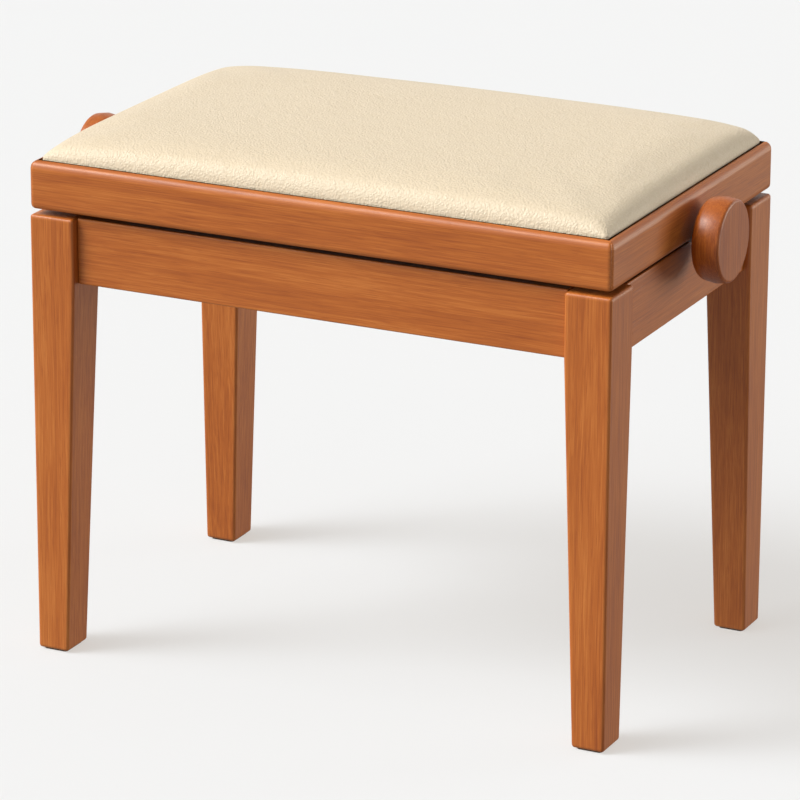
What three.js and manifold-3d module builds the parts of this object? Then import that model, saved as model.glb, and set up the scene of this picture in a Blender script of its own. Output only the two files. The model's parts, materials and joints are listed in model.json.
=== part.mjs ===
// Height-adjustable piano bench: a wooden leg frame, a wooden seat frame with an upholstered pad,
// and a scissor lift between them that two side knobs drive through one threaded spindle.
// Millimetres, +Z up, origin on the floor under the middle of the bench, sitter's side at -Y.
import * as THREE from "three";
import { mergeVertices } from "three/addons/utils/BufferGeometryUtils.js";
import Module from "manifold-3d";

const wasm = await Module();
wasm.setup();

// ---- Driving dimensions ----
const GAP = 0.3; // clearance between pieces that touch

const BASE_WIDTH = 560; // leg frame, over the legs
const BASE_DEPTH = 358;
const BASE_TOP = 411;
const LEG_TOP_X = 43.5; // leg section under the seat
const LEG_TOP_Y = 47;
const LEG_FOOT_X = 30.5; // leg section at the foot
const LEG_FOOT_Y = 36;
const LEG_ARRIS = 2; // chamfer on the four long edges
const GLIDE_THICKNESS = 1.2;
const GLIDE_INSET = 3.5;
const GLIDE_CORNER = 3;

const APRON_BOTTOM = 350.5;
const APRON_THICKNESS = 20;
const FRONT_APRON_RECESS = 8; // apron face behind the leg face
const SIDE_APRON_RECESS = 6;
const TENON_THICKNESS = 8;
const TENON_LENGTH = 17;
const TENON_HEIGHT = 40;
const TENON_DROP = 8; // top of a tenon below the top of the leg frame

const SEAT_WIDTH = 560; // seat frame
const SEAT_DEPTH = 358;
const SEAT_BOTTOM = 416;
const SEAT_TOP = 460;
const RAIL_THICKNESS = 22;
const RAIL_LIP = 7.5; // width of the rim beside the pad
const RAIL_ROUND = 5.5; // radius of the top outer edge
const RAIL_SOFT_EDGE = 1.5; // chamfer on the bottom outer edge
const BOARD_TOP = 456;
const BOARD_THICKNESS = 12;
const BOARD_MARGIN = 1.5; // clearance between the board and the rim
const PAD_CROWN = 489; // highest point of the cushion
const PAD_EDGE = 468; // height of the cushion's edge
const PAD_MARGIN = 0.5; // clearance between the pad and the rim
const PAD_CORNER = 16; // corner radius in plan

const SPINDLE_Z = 418.5; // spindle axis, along X through y = 0
const SPINDLE_RADIUS = 6;
const KNOB_OUTER_X = 316.5; // flat outer face of a knob
const KNOB_THICKNESS = 27.5;
const KNOB_RADIUS = 38;
const KNOB_EDGE_OUT = 4; // rounding of a knob's outer rim
const KNOB_EDGE_IN = 7; // rounding of its inner rim
const KNOB_SOCKET_DEPTH = 17;

const LIFT_PIVOT_X = 170; // scissor pivots stand at x = -170 and x = +170
const LIFT_LOW_Z = 388.5; // lower pivots, on the leg frame
const LIFT_HIGH_Z = SPINDLE_Z; // upper pivots, on the seat
const ROD_RADIUS = 5;
const SLEEVE_RADIUS = 8;
const ARM_WIDTH = 20;
const ARM_THICKNESS = 4;
const OUTER_ARM_Y = 136.2; // middle plane of the outer arms
const INNER_ARM_Y = 131.2; // middle plane of the inner arms
const OPEN_PIVOT_CLEARANCE = 1.3; // play at the pivot that closes the linkage
const LIFT_BAR = 20; // square section of the bearing bar and the nut bar
const LIFT_BAR_HALF = 120; // half length of the square part

const CHANNEL_OUTER_Y = 150.7; // back of the steel channels
const CHANNEL_WEB = 2;
const CHANNEL_DEPTH = 12;
const CHANNEL_INNER = 19; // clear height between the flanges
const CHANNEL_HALF = 195;

// ---- Materials ----
const material = (color, roughness, metalness) =>
  new THREE.MeshStandardMaterial({ color, roughness, metalness });
const LOOKS = {
  wood: material(0xb5622f, 0.42, 0),
  blockWood: material(0xc79a63, 0.7, 0),
  plywood: material(0xcbb189, 0.75, 0),
  leather: material(0xe8d6b0, 0.5, 0),
  steel: material(0x8d9093, 0.4, 1),
  brass: material(0xb5935a, 0.35, 1),
  nylon: material(0xe6e2d8, 0.6, 0),
  glide: material(0x3a332d, 0.8, 0),
};

const bench = new THREE.Group();
bench.name = "piano_bench";

function addMesh(name, geometry, look) {
  const mesh = new THREE.Mesh(geometry, look);
  mesh.name = name;
  bench.add(mesh);
  return mesh;
}

// ---- Booleans ----
function solid(geometry) {
  const bare = geometry.clone();
  for (const attribute of ["normal", "uv"]) {
    bare.deleteAttribute(attribute);
  }
  const merged = mergeVertices(bare, 1e-4);
  return new wasm.Manifold(new wasm.Mesh({
    numProp: 3,
    vertProperties: new Float32Array(merged.attributes.position.array),
    triVerts: new Uint32Array(merged.index.array),
  }));
}

function geometryOf(manifold) {
  const mesh = manifold.getMesh();
  const geometry = new THREE.BufferGeometry();
  geometry.setAttribute("position", new THREE.BufferAttribute(mesh.vertProperties, mesh.numProp));
  geometry.setIndex(new THREE.BufferAttribute(mesh.triVerts, 1));
  geometry.computeVertexNormals();
  return geometry;
}

function cut(geometry, ...tools) {
  const body = tools.reduce((left, tool) => left.subtract(solid(tool)), solid(geometry));
  return geometryOf(body);
}

function join(geometry, ...others) {
  const body = others.reduce((left, other) => left.add(solid(other)), solid(geometry));
  return geometryOf(body);
}

const common = (a, b) => geometryOf(solid(a).intersect(solid(b)));

// ---- Shapes ----
// A box from its limits on the three axes.
function box([x0, x1], [y0, y1], [z0, z1]) {
  const geometry = new THREE.BoxGeometry(x1 - x0, y1 - y0, z1 - z0);
  return geometry.translate((x0 + x1) / 2, (y0 + y1) / 2, (z0 + z1) / 2);
}

const ROUND_SIDES = 20;

function rodAlongX(radius, x0, x1, y = 0, z = 0, sides = ROUND_SIDES) {
  const geometry = new THREE.CylinderGeometry(radius, radius, x1 - x0, sides);
  return geometry.rotateZ(Math.PI / 2).translate((x0 + x1) / 2, y, z);
}

function rodAlongY(radius, y0, y1, x = 0, z = 0, sides = ROUND_SIDES) {
  const geometry = new THREE.CylinderGeometry(radius, radius, y1 - y0, sides);
  return geometry.translate(x, (y0 + y1) / 2, z);
}

function rodAlongZ(radius, z0, z1, x = 0, y = 0, sides = ROUND_SIDES) {
  const geometry = new THREE.CylinderGeometry(radius, radius, z1 - z0, sides);
  return geometry.rotateX(Math.PI / 2).translate(x, y, (z0 + z1) / 2);
}

const shapeOf = (points) => new THREE.Shape(points.map(([a, b]) => new THREE.Vector2(a, b)));

// An outline in plan, raised along +Z from z0 to z1.
function extrudeUp(shape, z0, z1, curveSegments = 6) {
  const geometry = new THREE.ExtrudeGeometry(shape, { depth: z1 - z0, bevelEnabled: false, curveSegments });
  return geometry.translate(0, 0, z0);
}

// An outline in (x, z), carried along Y from y0 to y1.
function extrudeAlongY(shape, y0, y1, curveSegments = 6) {
  const geometry = new THREE.ExtrudeGeometry(shape, { depth: y1 - y0, bevelEnabled: false, curveSegments });
  return geometry.rotateX(Math.PI / 2).translate(0, y1, 0);
}

// An outline in (y, z), carried along X from x0 to x1.
function extrudeAlongX(shape, x0, x1, curveSegments = 6) {
  const geometry = new THREE.ExtrudeGeometry(shape, { depth: x1 - x0, bevelEnabled: false, curveSegments });
  return geometry.rotateX(Math.PI / 2).rotateZ(Math.PI / 2).translate(x0, 0, 0);
}

function roundedRectangle(width, depth, radius) {
  const x = width / 2;
  const y = depth / 2;
  const shape = new THREE.Shape();
  shape.absarc(x - radius, y - radius, radius, 0, Math.PI / 2);
  shape.absarc(radius - x, y - radius, radius, Math.PI / 2, Math.PI);
  shape.absarc(radius - x, radius - y, radius, Math.PI, 1.5 * Math.PI);
  shape.absarc(x - radius, radius - y, radius, 1.5 * Math.PI, 2 * Math.PI);
  shape.closePath();
  return shape;
}

// A copy mirrored in x and/or y, with its faces still pointing out.
function mirrored(geometry, sx, sy) {
  const copy = geometry.clone().scale(sx, sy, 1);
  if (sx * sy > 0) return copy;
  const flat = copy.index ? copy.toNonIndexed() : copy;
  const position = flat.attributes.position;
  for (let i = 0; i < position.count; i += 3) {
    const swap = [position.getX(i), position.getY(i), position.getZ(i)];
    position.setXYZ(i, position.getX(i + 1), position.getY(i + 1), position.getZ(i + 1));
    position.setXYZ(i + 1, ...swap);
  }
  flat.computeVertexNormals();
  return flat;
}

const CORNERS = [
  { name: "front_left", sx: -1, sy: -1 },
  { name: "front_right", sx: 1, sy: -1 },
  { name: "rear_left", sx: -1, sy: 1 },
  { name: "rear_right", sx: 1, sy: 1 },
];
const SIDES = [
  { name: "left", sx: -1 },
  { name: "right", sx: 1 },
];
const FACES = [
  { name: "front", sy: -1 },
  { name: "rear", sy: 1 },
];

// ---- Leg frame ----
// Everything below is drawn for the +X +Y corner or side, and mirrored.
const HALF_X = BASE_WIDTH / 2;
const HALF_Y = BASE_DEPTH / 2;
const LEG_BOTTOM = GLIDE_THICKNESS + GAP;
const LEG_INNER_X = HALF_X - LEG_TOP_X;
const LEG_INNER_Y = HALF_Y - LEG_TOP_Y;
const APRON_INNER_Y = HALF_Y - FRONT_APRON_RECESS - APRON_THICKNESS;
const APRON_INNER_X = HALF_X - SIDE_APRON_RECESS - APRON_THICKNESS;
const TENON_TOP = BASE_TOP - TENON_DROP;
const TENON_Z = [TENON_TOP - TENON_HEIGHT, TENON_TOP];
const FRONT_TENON_Y = APRON_INNER_Y + APRON_THICKNESS / 2;
const SIDE_TENON_X = APRON_INNER_X + APRON_THICKNESS / 2;
const BOLT_Z = 371;
const BOLT_RADIUS = 3;
const BOLT_DEPTH_IN_LEG = 20;

// Outline of one leg face: straight behind the apron, then tapered on the inner side.
const legOutline = (inner, outer, foot) => shapeOf([
  [inner, BASE_TOP],
  [inner, APRON_BOTTOM],
  [outer - foot, LEG_BOTTOM],
  [outer, LEG_BOTTOM],
  [outer, BASE_TOP],
]);

const tenonBox = (along, across, z, grow) => [
  [along[0] - grow, along[1] + grow],
  [across - TENON_THICKNESS / 2 - grow, across + TENON_THICKNESS / 2 + grow],
  [z[0] - grow, z[1] + grow],
];

// A rod on the plan diagonal through a leg's inner edge, from `near` to `far` measured outwards.
function diagonalRod(radius, near, far, sides) {
  const rod = rodAlongX(radius, near, far, 0, 0, sides);
  return rod.rotateZ(Math.PI / 4).translate(LEG_INNER_X, LEG_INNER_Y, BOLT_Z);
}

function legGeometry() {
  const taperedX = extrudeAlongY(legOutline(LEG_INNER_X, HALF_X, LEG_FOOT_X), 0, HALF_Y);
  const taperedY = extrudeAlongX(legOutline(LEG_INNER_Y, HALF_Y, LEG_FOOT_Y), 0, HALF_X);
  const outerEdge = extrudeUp(shapeOf([
    [0, 0],
    [HALF_X, 0],
    [HALF_X, HALF_Y - LEG_ARRIS],
    [HALF_X - LEG_ARRIS, HALF_Y],
    [0, HALF_Y],
  ]), 0, BASE_TOP + 1);
  const blank = common(common(taperedX, taperedY), outerEdge);
  const frontSpan = [LEG_INNER_X - 1, LEG_INNER_X + TENON_LENGTH];
  const frontMortise = tenonBox(frontSpan, FRONT_TENON_Y, TENON_Z, GAP);
  const sideSpan = [LEG_INNER_Y - 1, LEG_INNER_Y + TENON_LENGTH];
  const [sideY, sideX, sideZ] = tenonBox(sideSpan, SIDE_TENON_X, TENON_Z, GAP);
  return cut(
    blank,
    box(...frontMortise),
    box(sideX, sideY, sideZ),
    diagonalRod(BOLT_RADIUS + GAP, -1, BOLT_DEPTH_IN_LEG + 1),
  );
}

function glideGeometry() {
  const width = LEG_FOOT_X - 2 * GLIDE_INSET;
  const depth = LEG_FOOT_Y - 2 * GLIDE_INSET;
  const glide = extrudeUp(roundedRectangle(width, depth, GLIDE_CORNER), 0, GLIDE_THICKNESS, 3);
  return glide.translate(HALF_X - LEG_FOOT_X / 2, HALF_Y - LEG_FOOT_Y / 2, 0);
}

function frontApronGeometry() {
  const end = LEG_INNER_X - GAP;
  const thickness = [APRON_INNER_Y, APRON_INNER_Y + APRON_THICKNESS];
  const board = box([-end, end], thickness, [APRON_BOTTOM, BASE_TOP]);
  const tenonSpan = [-end - TENON_LENGTH, end + TENON_LENGTH];
  const tenons = box(...tenonBox(tenonSpan, FRONT_TENON_Y, TENON_Z, 0));
  return join(board, tenons);
}

function sideApronGeometry() {
  const end = LEG_INNER_Y - GAP;
  const thickness = [APRON_INNER_X, APRON_INNER_X + APRON_THICKNESS];
  const board = box(thickness, [-end, end], [APRON_BOTTOM, BASE_TOP]);
  const tenonSpan = [-end - TENON_LENGTH, end + TENON_LENGTH];
  const [alongY, acrossX, z] = tenonBox(tenonSpan, SIDE_TENON_X, TENON_Z, 0);
  return join(board, box(acrossX, alongY, z));
}

const BLOCK_REACH = 50; // how far a corner block runs along each apron
const BLOCK_NOSE = 4; // blunt thickness of a block at its two ends
const BLOCK_Z = [356, 386];

function cornerBlockGeometry() {
  const nearX = APRON_INNER_X - GAP;
  const nearY = APRON_INNER_Y - GAP;
  const outline = shapeOf([
    [nearX, LEG_INNER_Y - GAP],
    [LEG_INNER_X - GAP, LEG_INNER_Y - GAP],
    [LEG_INNER_X - GAP, nearY],
    [APRON_INNER_X - BLOCK_REACH, nearY],
    [APRON_INNER_X - BLOCK_REACH, nearY - BLOCK_NOSE],
    [nearX - BLOCK_NOSE, APRON_INNER_Y - BLOCK_REACH],
    [nearX, APRON_INNER_Y - BLOCK_REACH],
  ]);
  return cut(extrudeUp(outline, ...BLOCK_Z), diagonalRod(BOLT_RADIUS + GAP, -60, 20));
}

// Distance along the bolt from the leg's inner edge to the block's inner face.
const LEG_SETBACK = (APRON_INNER_X - LEG_INNER_X) + (APRON_INNER_Y - LEG_INNER_Y);
const BLOCK_FACE = (LEG_SETBACK - (BLOCK_REACH + BLOCK_NOSE + GAP)) / Math.SQRT2;
const BOLT_HEAD_RADIUS = 6.5;
const BOLT_HEAD_THICKNESS = 4.5;

function cornerBoltGeometry() {
  const headBack = BLOCK_FACE - GAP;
  const head = diagonalRod(BOLT_HEAD_RADIUS, headBack - BOLT_HEAD_THICKNESS, headBack, 6);
  return join(head, diagonalRod(BOLT_RADIUS, headBack - 1, BOLT_DEPTH_IN_LEG, 12));
}

function buildLegFrame() {
  const leg = legGeometry();
  const glide = glideGeometry();
  const block = cornerBlockGeometry();
  const bolt = cornerBoltGeometry();
  for (const { name, sx, sy } of CORNERS) {
    addMesh(`leg_${name}`, mirrored(leg, sx, sy), LOOKS.wood);
    addMesh(`foot_glide_${name}`, mirrored(glide, sx, sy), LOOKS.glide);
    addMesh(`corner_block_${name}`, mirrored(block, sx, sy), LOOKS.blockWood);
    addMesh(`corner_bolt_${name}`, mirrored(bolt, sx, sy), LOOKS.steel);
  }
  const frontApron = frontApronGeometry();
  for (const { name, sy } of FACES) {
    addMesh(`apron_${name}`, mirrored(frontApron, 1, sy), LOOKS.wood);
  }
  const sideApron = sideApronGeometry();
  for (const { name, sx } of SIDES) {
    addMesh(`apron_${name}`, mirrored(sideApron, sx, 1), LOOKS.wood);
  }
}

// ---- Seat frame and pad ----
const SEAT_HALF_X = SEAT_WIDTH / 2;
const SEAT_HALF_Y = SEAT_DEPTH / 2;
const BOARD_BOTTOM = BOARD_TOP - BOARD_THICKNESS;

// Section of a seat rail, outwards and up, with the rebate that carries the board.
function railSection(half) {
  const shape = new THREE.Shape();
  const ledge = BOARD_BOTTOM - GAP;
  shape.moveTo(half - RAIL_THICKNESS, SEAT_BOTTOM);
  shape.lineTo(half - RAIL_SOFT_EDGE, SEAT_BOTTOM);
  shape.lineTo(half, SEAT_BOTTOM + RAIL_SOFT_EDGE);
  shape.lineTo(half, SEAT_TOP - RAIL_ROUND);
  shape.absarc(half - RAIL_ROUND, SEAT_TOP - RAIL_ROUND, RAIL_ROUND, 0, Math.PI / 2);
  shape.lineTo(half - RAIL_LIP, SEAT_TOP);
  shape.lineTo(half - RAIL_LIP, ledge);
  shape.lineTo(half - RAIL_THICKNESS, ledge);
  shape.closePath();
  return shape;
}

// A wedge in plan whose two mitre planes run at 45 degrees through the seat's corners.
function mitreWedge(alongX) {
  const longer = SEAT_HALF_X - SEAT_HALF_Y;
  const outer = 10;
  const inner = RAIL_THICKNESS + outer;
  const points = alongX
    ? [
      [-(SEAT_HALF_X + outer - GAP / 2), SEAT_HALF_Y + outer],
      [-(SEAT_HALF_X - inner - GAP / 2), SEAT_HALF_Y - inner],
      [SEAT_HALF_X - inner - GAP / 2, SEAT_HALF_Y - inner],
      [SEAT_HALF_X + outer - GAP / 2, SEAT_HALF_Y + outer],
    ]
    : [
      [SEAT_HALF_X + outer, SEAT_HALF_X + outer - longer - GAP / 2],
      [SEAT_HALF_X - inner, SEAT_HALF_X - inner - longer - GAP / 2],
      [SEAT_HALF_X - inner, -(SEAT_HALF_X - inner - longer - GAP / 2)],
      [SEAT_HALF_X + outer, -(SEAT_HALF_X + outer - longer - GAP / 2)],
    ];
  return extrudeUp(shapeOf(points), SEAT_BOTTOM - 1, SEAT_TOP + 1);
}

const NOTCH_RADIUS = 8;

// Half-round slot from below, in which the spindle crosses a side rail.
function spindleNotch() {
  const shape = new THREE.Shape();
  shape.moveTo(-NOTCH_RADIUS, SEAT_BOTTOM - 2);
  shape.lineTo(NOTCH_RADIUS, SEAT_BOTTOM - 2);
  shape.absarc(0, SPINDLE_Z, NOTCH_RADIUS, 0, Math.PI);
  shape.closePath();
  return extrudeAlongX(shape, 0, SEAT_HALF_X + 5);
}

// The pad's plain form: a low dome over a rounded rectangle.
function padGeometry() {
  const halfX = SEAT_HALF_X - RAIL_LIP - PAD_MARGIN;
  const halfY = SEAT_HALF_Y - RAIL_LIP - PAD_MARGIN;
  const bottom = BOARD_TOP + GAP;
  const dome = new THREE.BoxGeometry(2, 2, 1, 18, 12, 1);
  const position = dome.attributes.position;
  for (let i = 0; i < position.count; i += 1) {
    const u = position.getX(i);
    const v = position.getY(i);
    const rise = Math.sqrt((1 - u ** 4) * (1 - v ** 4));
    const top = PAD_EDGE + (PAD_CROWN - PAD_EDGE) * rise;
    position.setXYZ(i, u * halfX, v * halfY, position.getZ(i) > 0 ? top : bottom);
  }
  const plan = roundedRectangle(2 * halfX, 2 * halfY, PAD_CORNER);
  return common(dome, extrudeUp(plan, bottom - 1, PAD_CROWN + 1, 5));
}

const SCREW_X = 150; // seat board screws
const SCREW_Y = 140;
const SCREW_RADIUS = 2.2;
const SCREW_LENGTH = 10;
const SCREW_HEAD_RADIUS = 4;
const SCREW_HEAD_THICKNESS = 2.4;
const STRAP_THICKNESS = 2;
const STRAP_MARGIN = 7; // edge of a strap beyond its screws

function buildSeatFrame() {
  const frontBlank = extrudeAlongX(railSection(SEAT_HALF_Y), -SEAT_HALF_X, SEAT_HALF_X);
  const frontRail = common(frontBlank, mitreWedge(true));
  for (const { name, sy } of FACES) {
    addMesh(`seat_rail_${name}`, mirrored(frontRail, 1, sy), LOOKS.wood);
  }
  const sideBlank = extrudeAlongY(railSection(SEAT_HALF_X), -SEAT_HALF_Y, SEAT_HALF_Y);
  const sideRail = cut(common(sideBlank, mitreWedge(false)), spindleNotch());
  for (const { name, sx } of SIDES) {
    addMesh(`seat_rail_${name}`, mirrored(sideRail, sx, 1), LOOKS.wood);
  }
  const boardX = SEAT_HALF_X - RAIL_LIP - BOARD_MARGIN;
  const boardY = SEAT_HALF_Y - RAIL_LIP - BOARD_MARGIN;
  const pilots = CORNERS.map(({ sx, sy }) => rodAlongZ(
    SCREW_RADIUS + GAP,
    BOARD_BOTTOM - 1,
    BOARD_BOTTOM + SCREW_LENGTH,
    sx * SCREW_X,
    sy * SCREW_Y,
    10,
  ));
  const board = cut(box([-boardX, boardX], [-boardY, boardY], [BOARD_BOTTOM, BOARD_TOP]), ...pilots);
  addMesh("seat_board", board, LOOKS.plywood);
  addMesh("cushion", padGeometry(), LOOKS.leather);
}

// ---- Steel channels ----
// Section of a C channel open towards the middle of the bench, drawn for the +Y side.
function channelSection(middleZ, strapTop) {
  const back = CHANNEL_OUTER_Y;
  const web = back - CHANNEL_WEB;
  const lip = back - CHANNEL_DEPTH;
  const half = CHANNEL_INNER / 2;
  const lower = [
    [back, middleZ - half - CHANNEL_WEB],
    [back, strapTop ?? middleZ + half + CHANNEL_WEB],
  ];
  const strap = strapTop
    ? [
      [SCREW_Y - STRAP_MARGIN, strapTop],
      [SCREW_Y - STRAP_MARGIN, strapTop - STRAP_THICKNESS],
      [web, strapTop - STRAP_THICKNESS],
      [web, middleZ + half + CHANNEL_WEB],
    ]
    : [];
  return shapeOf([
    ...lower,
    ...strap,
    [lip, middleZ + half + CHANNEL_WEB],
    [lip, middleZ + half],
    [web, middleZ + half],
    [web, middleZ - half],
    [lip, middleZ - half],
    [lip, middleZ - half - CHANNEL_WEB],
  ]);
}

function buildChannels() {
  const pivotHole = (z) => (
    rodAlongY(ROD_RADIUS + GAP, CHANNEL_OUTER_Y - 10, CHANNEL_OUTER_Y + 10, -LIFT_PIVOT_X, z)
  );
  const lower = cut(
    extrudeAlongX(channelSection(LIFT_LOW_Z), -CHANNEL_HALF, CHANNEL_HALF),
    pivotHole(LIFT_LOW_Z),
  );
  const strapHoles = [-SCREW_X, SCREW_X].map((x) => (
    rodAlongZ(SCREW_RADIUS + GAP, BOARD_BOTTOM - 8, BOARD_BOTTOM + 8, x, SCREW_Y, 10)
  ));
  const upper = cut(
    extrudeAlongX(channelSection(LIFT_HIGH_Z, BOARD_BOTTOM - GAP), -CHANNEL_HALF, CHANNEL_HALF),
    pivotHole(LIFT_HIGH_Z),
    ...strapHoles,
  );
  for (const { name, sy } of FACES) {
    addMesh(`lower_channel_${name}`, mirrored(lower, 1, sy), LOOKS.steel);
    addMesh(`upper_channel_${name}`, mirrored(upper, 1, sy), LOOKS.steel);
  }
  const strapBottom = BOARD_BOTTOM - GAP - STRAP_THICKNESS;
  const headTop = strapBottom - GAP;
  const headBottom = headTop - SCREW_HEAD_THICKNESS;
  const tip = BOARD_BOTTOM + SCREW_LENGTH - 1;
  const head = rodAlongZ(SCREW_HEAD_RADIUS, headBottom, headTop, SCREW_X, SCREW_Y, 16);
  const shank = rodAlongZ(SCREW_RADIUS, strapBottom - 1, tip, SCREW_X, SCREW_Y, 10);
  const screw = join(head, shank);
  for (const { name, sx, sy } of CORNERS) {
    addMesh(`board_screw_${name}`, mirrored(screw, sx, sy), LOOKS.steel);
  }
}

// ---- Scissor lift ----
const ROD_END_Y = CHANNEL_OUTER_Y - CHANNEL_WEB / 2; // a rod's end stands inside the channel's web
const SLIDE_END_Y = CHANNEL_OUTER_Y - CHANNEL_WEB - 1; // a sliding rod stops short of the web

// A flat arm between two pivots, with round ends and three holes.
function armGeometry(from, to, middleY, holeRadii) {
  const span = Math.hypot(to[0] - from[0], to[1] - from[1]);
  const half = ARM_WIDTH / 2;
  const shape = new THREE.Shape();
  shape.absarc(span / 2, 0, half, -Math.PI / 2, Math.PI / 2);
  shape.absarc(-span / 2, 0, half, Math.PI / 2, 1.5 * Math.PI);
  shape.closePath();
  const places = [-span / 2, 0, span / 2];
  places.forEach((place, i) => {
    const hole = new THREE.Path();
    hole.absarc(place, 0, holeRadii[i], 0, 2 * Math.PI, true);
    shape.holes.push(hole);
  });
  const tilt = Math.atan2(to[1] - from[1], to[0] - from[0]);
  const arm = extrudeAlongY(shape, middleY - ARM_THICKNESS / 2, middleY + ARM_THICKNESS / 2, 10);
  return arm.rotateY(-tilt).translate((from[0] + to[0]) / 2, 0, (from[1] + to[1]) / 2);
}

const LOW_LEFT = [-LIFT_PIVOT_X, LIFT_LOW_Z];
const LOW_RIGHT = [LIFT_PIVOT_X, LIFT_LOW_Z];
const HIGH_LEFT = [-LIFT_PIVOT_X, LIFT_HIGH_Z];
const HIGH_RIGHT = [LIFT_PIVOT_X, LIFT_HIGH_Z];
const CENTRE_Z = (LIFT_LOW_Z + LIFT_HIGH_Z) / 2;
const CENTRE_PIN_RADIUS = 4;
const CENTRE_PIN_HEAD_RADIUS = 7;
const CENTRE_PIN_HEAD_THICKNESS = 2.2;

// A square bar across the bench with round journals at both ends.
function liftBar(x, z, endY, boreRadius) {
  const half = LIFT_BAR / 2;
  const bar = box([x - half, x + half], [-LIFT_BAR_HALF, LIFT_BAR_HALF], [z - half, z + half]);
  const journals = rodAlongY(ROD_RADIUS, -endY, endY, x, z);
  return cut(join(bar, journals), rodAlongX(boreRadius, x - half - 1, x + half + 1, 0, z));
}

// A ring around a rod along Y, for the +Y side.
function sleeveGeometry(x, z) {
  const y0 = OUTER_ARM_Y + ARM_THICKNESS / 2 + 0.8;
  const y1 = CHANNEL_OUTER_Y - CHANNEL_WEB - 0.5;
  return cut(rodAlongY(SLEEVE_RADIUS, y0, y1, x, z), rodAlongY(ROD_RADIUS + GAP, y0 - 1, y1 + 1, x, z));
}

function centrePinGeometry() {
  const outerFace = OUTER_ARM_Y + ARM_THICKNESS / 2;
  const innerFace = INNER_ARM_Y - ARM_THICKNESS / 2;
  const headOuter = innerFace - GAP;
  const headInner = headOuter - CENTRE_PIN_HEAD_THICKNESS;
  const shank = rodAlongY(CENTRE_PIN_RADIUS, innerFace - 1, outerFace, 0, CENTRE_Z, 16);
  return join(shank, rodAlongY(CENTRE_PIN_HEAD_RADIUS, headInner, headOuter, 0, CENTRE_Z, 16));
}

const NUT_RADIUS = 9;
const NUT_BORE = SPINDLE_RADIUS + 1.4;
const NUT_FLANGE_RADIUS = 13;
const NUT_FLANGE_END = LIFT_PIVOT_X - LIFT_BAR / 2 - GAP;
const NUT_FLANGE_X = [NUT_FLANGE_END - 3, NUT_FLANGE_END];

function driveNutGeometry() {
  const end = LIFT_PIVOT_X + LIFT_BAR / 2 + 2; // the body stands 2 out of the bar
  const flange = rodAlongX(NUT_FLANGE_RADIUS, ...NUT_FLANGE_X, 0, SPINDLE_Z, 6);
  const body = rodAlongX(NUT_RADIUS, NUT_FLANGE_X[0], end, 0, SPINDLE_Z);
  return cut(join(flange, body), rodAlongX(NUT_BORE, NUT_FLANGE_X[0] - 1, end + 1, 0, SPINDLE_Z));
}

function buildLift() {
  addMesh("lower_pivot_rod", rodAlongY(ROD_RADIUS, -ROD_END_Y, ROD_END_Y, ...LOW_LEFT), LOOKS.steel);
  addMesh("lower_slide_rod", rodAlongY(ROD_RADIUS, -SLIDE_END_Y, SLIDE_END_Y, ...LOW_RIGHT), LOOKS.steel);
  addMesh("bearing_bar", liftBar(...HIGH_LEFT, ROD_END_Y, SPINDLE_RADIUS + 0.5), LOOKS.steel);
  addMesh("nut_bar", liftBar(...HIGH_RIGHT, SLIDE_END_Y, NUT_RADIUS + GAP), LOOKS.steel);
  addMesh("drive_nut", driveNutGeometry(), LOOKS.brass);

  const running = ROD_RADIUS + GAP;
  const open = ROD_RADIUS + OPEN_PIVOT_CLEARANCE;
  const pinHole = CENTRE_PIN_RADIUS + GAP;
  const innerArm = armGeometry(LOW_LEFT, HIGH_RIGHT, INNER_ARM_Y, [running, pinHole, running]);
  const outerArm = armGeometry(HIGH_LEFT, LOW_RIGHT, OUTER_ARM_Y, [open, pinHole, running]);
  const pin = centrePinGeometry();
  const lowSleeve = sleeveGeometry(...LOW_RIGHT);
  const highSleeve = sleeveGeometry(...HIGH_RIGHT);
  for (const { name, sy } of FACES) {
    addMesh(`inner_arm_${name}`, mirrored(innerArm, 1, sy), LOOKS.steel);
    addMesh(`outer_arm_${name}`, mirrored(outerArm, 1, sy), LOOKS.steel);
    addMesh(`centre_pin_${name}`, mirrored(pin, 1, sy), LOOKS.steel);
    addMesh(`lower_sleeve_${name}`, mirrored(lowSleeve, 1, sy), LOOKS.nylon);
    addMesh(`upper_sleeve_${name}`, mirrored(highSleeve, 1, sy), LOOKS.nylon);
  }
}

// ---- Spindle and knobs ----
const KNOB_INNER_X = KNOB_OUTER_X - KNOB_THICKNESS;
const INSERT_RADIUS = 9;
const INSERT_LENGTH = 15;
const COLLAR_WIDTH = 8;
const COLLAR_RADIUS = 11;
const COLLAR_PLAY = 0.6; // between a collar and the bearing bar
const PLATE_HALF_WIDTH = 20;
const PLATE_THICKNESS = 2.5;

// A turned knob: flat outer face, rounded rim, blind socket from the inner face.
function knobGeometry() {
  const profile = new THREE.Path();
  profile.moveTo(0, KNOB_SOCKET_DEPTH);
  profile.lineTo(INSERT_RADIUS + GAP, KNOB_SOCKET_DEPTH);
  profile.lineTo(INSERT_RADIUS + GAP, 0);
  profile.lineTo(KNOB_RADIUS - KNOB_EDGE_IN, 0);
  profile.absarc(KNOB_RADIUS - KNOB_EDGE_IN, KNOB_EDGE_IN, KNOB_EDGE_IN, -Math.PI / 2, 0);
  const rimX = KNOB_RADIUS - KNOB_EDGE_OUT;
  profile.absarc(rimX, KNOB_THICKNESS - KNOB_EDGE_OUT, KNOB_EDGE_OUT, 0, Math.PI / 2);
  profile.lineTo(0, KNOB_THICKNESS);
  const turned = new THREE.LatheGeometry(profile.getPoints(3), 40);
  return turned.rotateZ(-Math.PI / 2).translate(KNOB_INNER_X, 0, SPINDLE_Z);
}

function ringAlongX(outer, inner, x0, x1) {
  const ring = rodAlongX(outer, x0, x1, 0, SPINDLE_Z);
  return cut(ring, rodAlongX(inner, x0 - 1, x1 + 1, 0, SPINDLE_Z));
}

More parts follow.
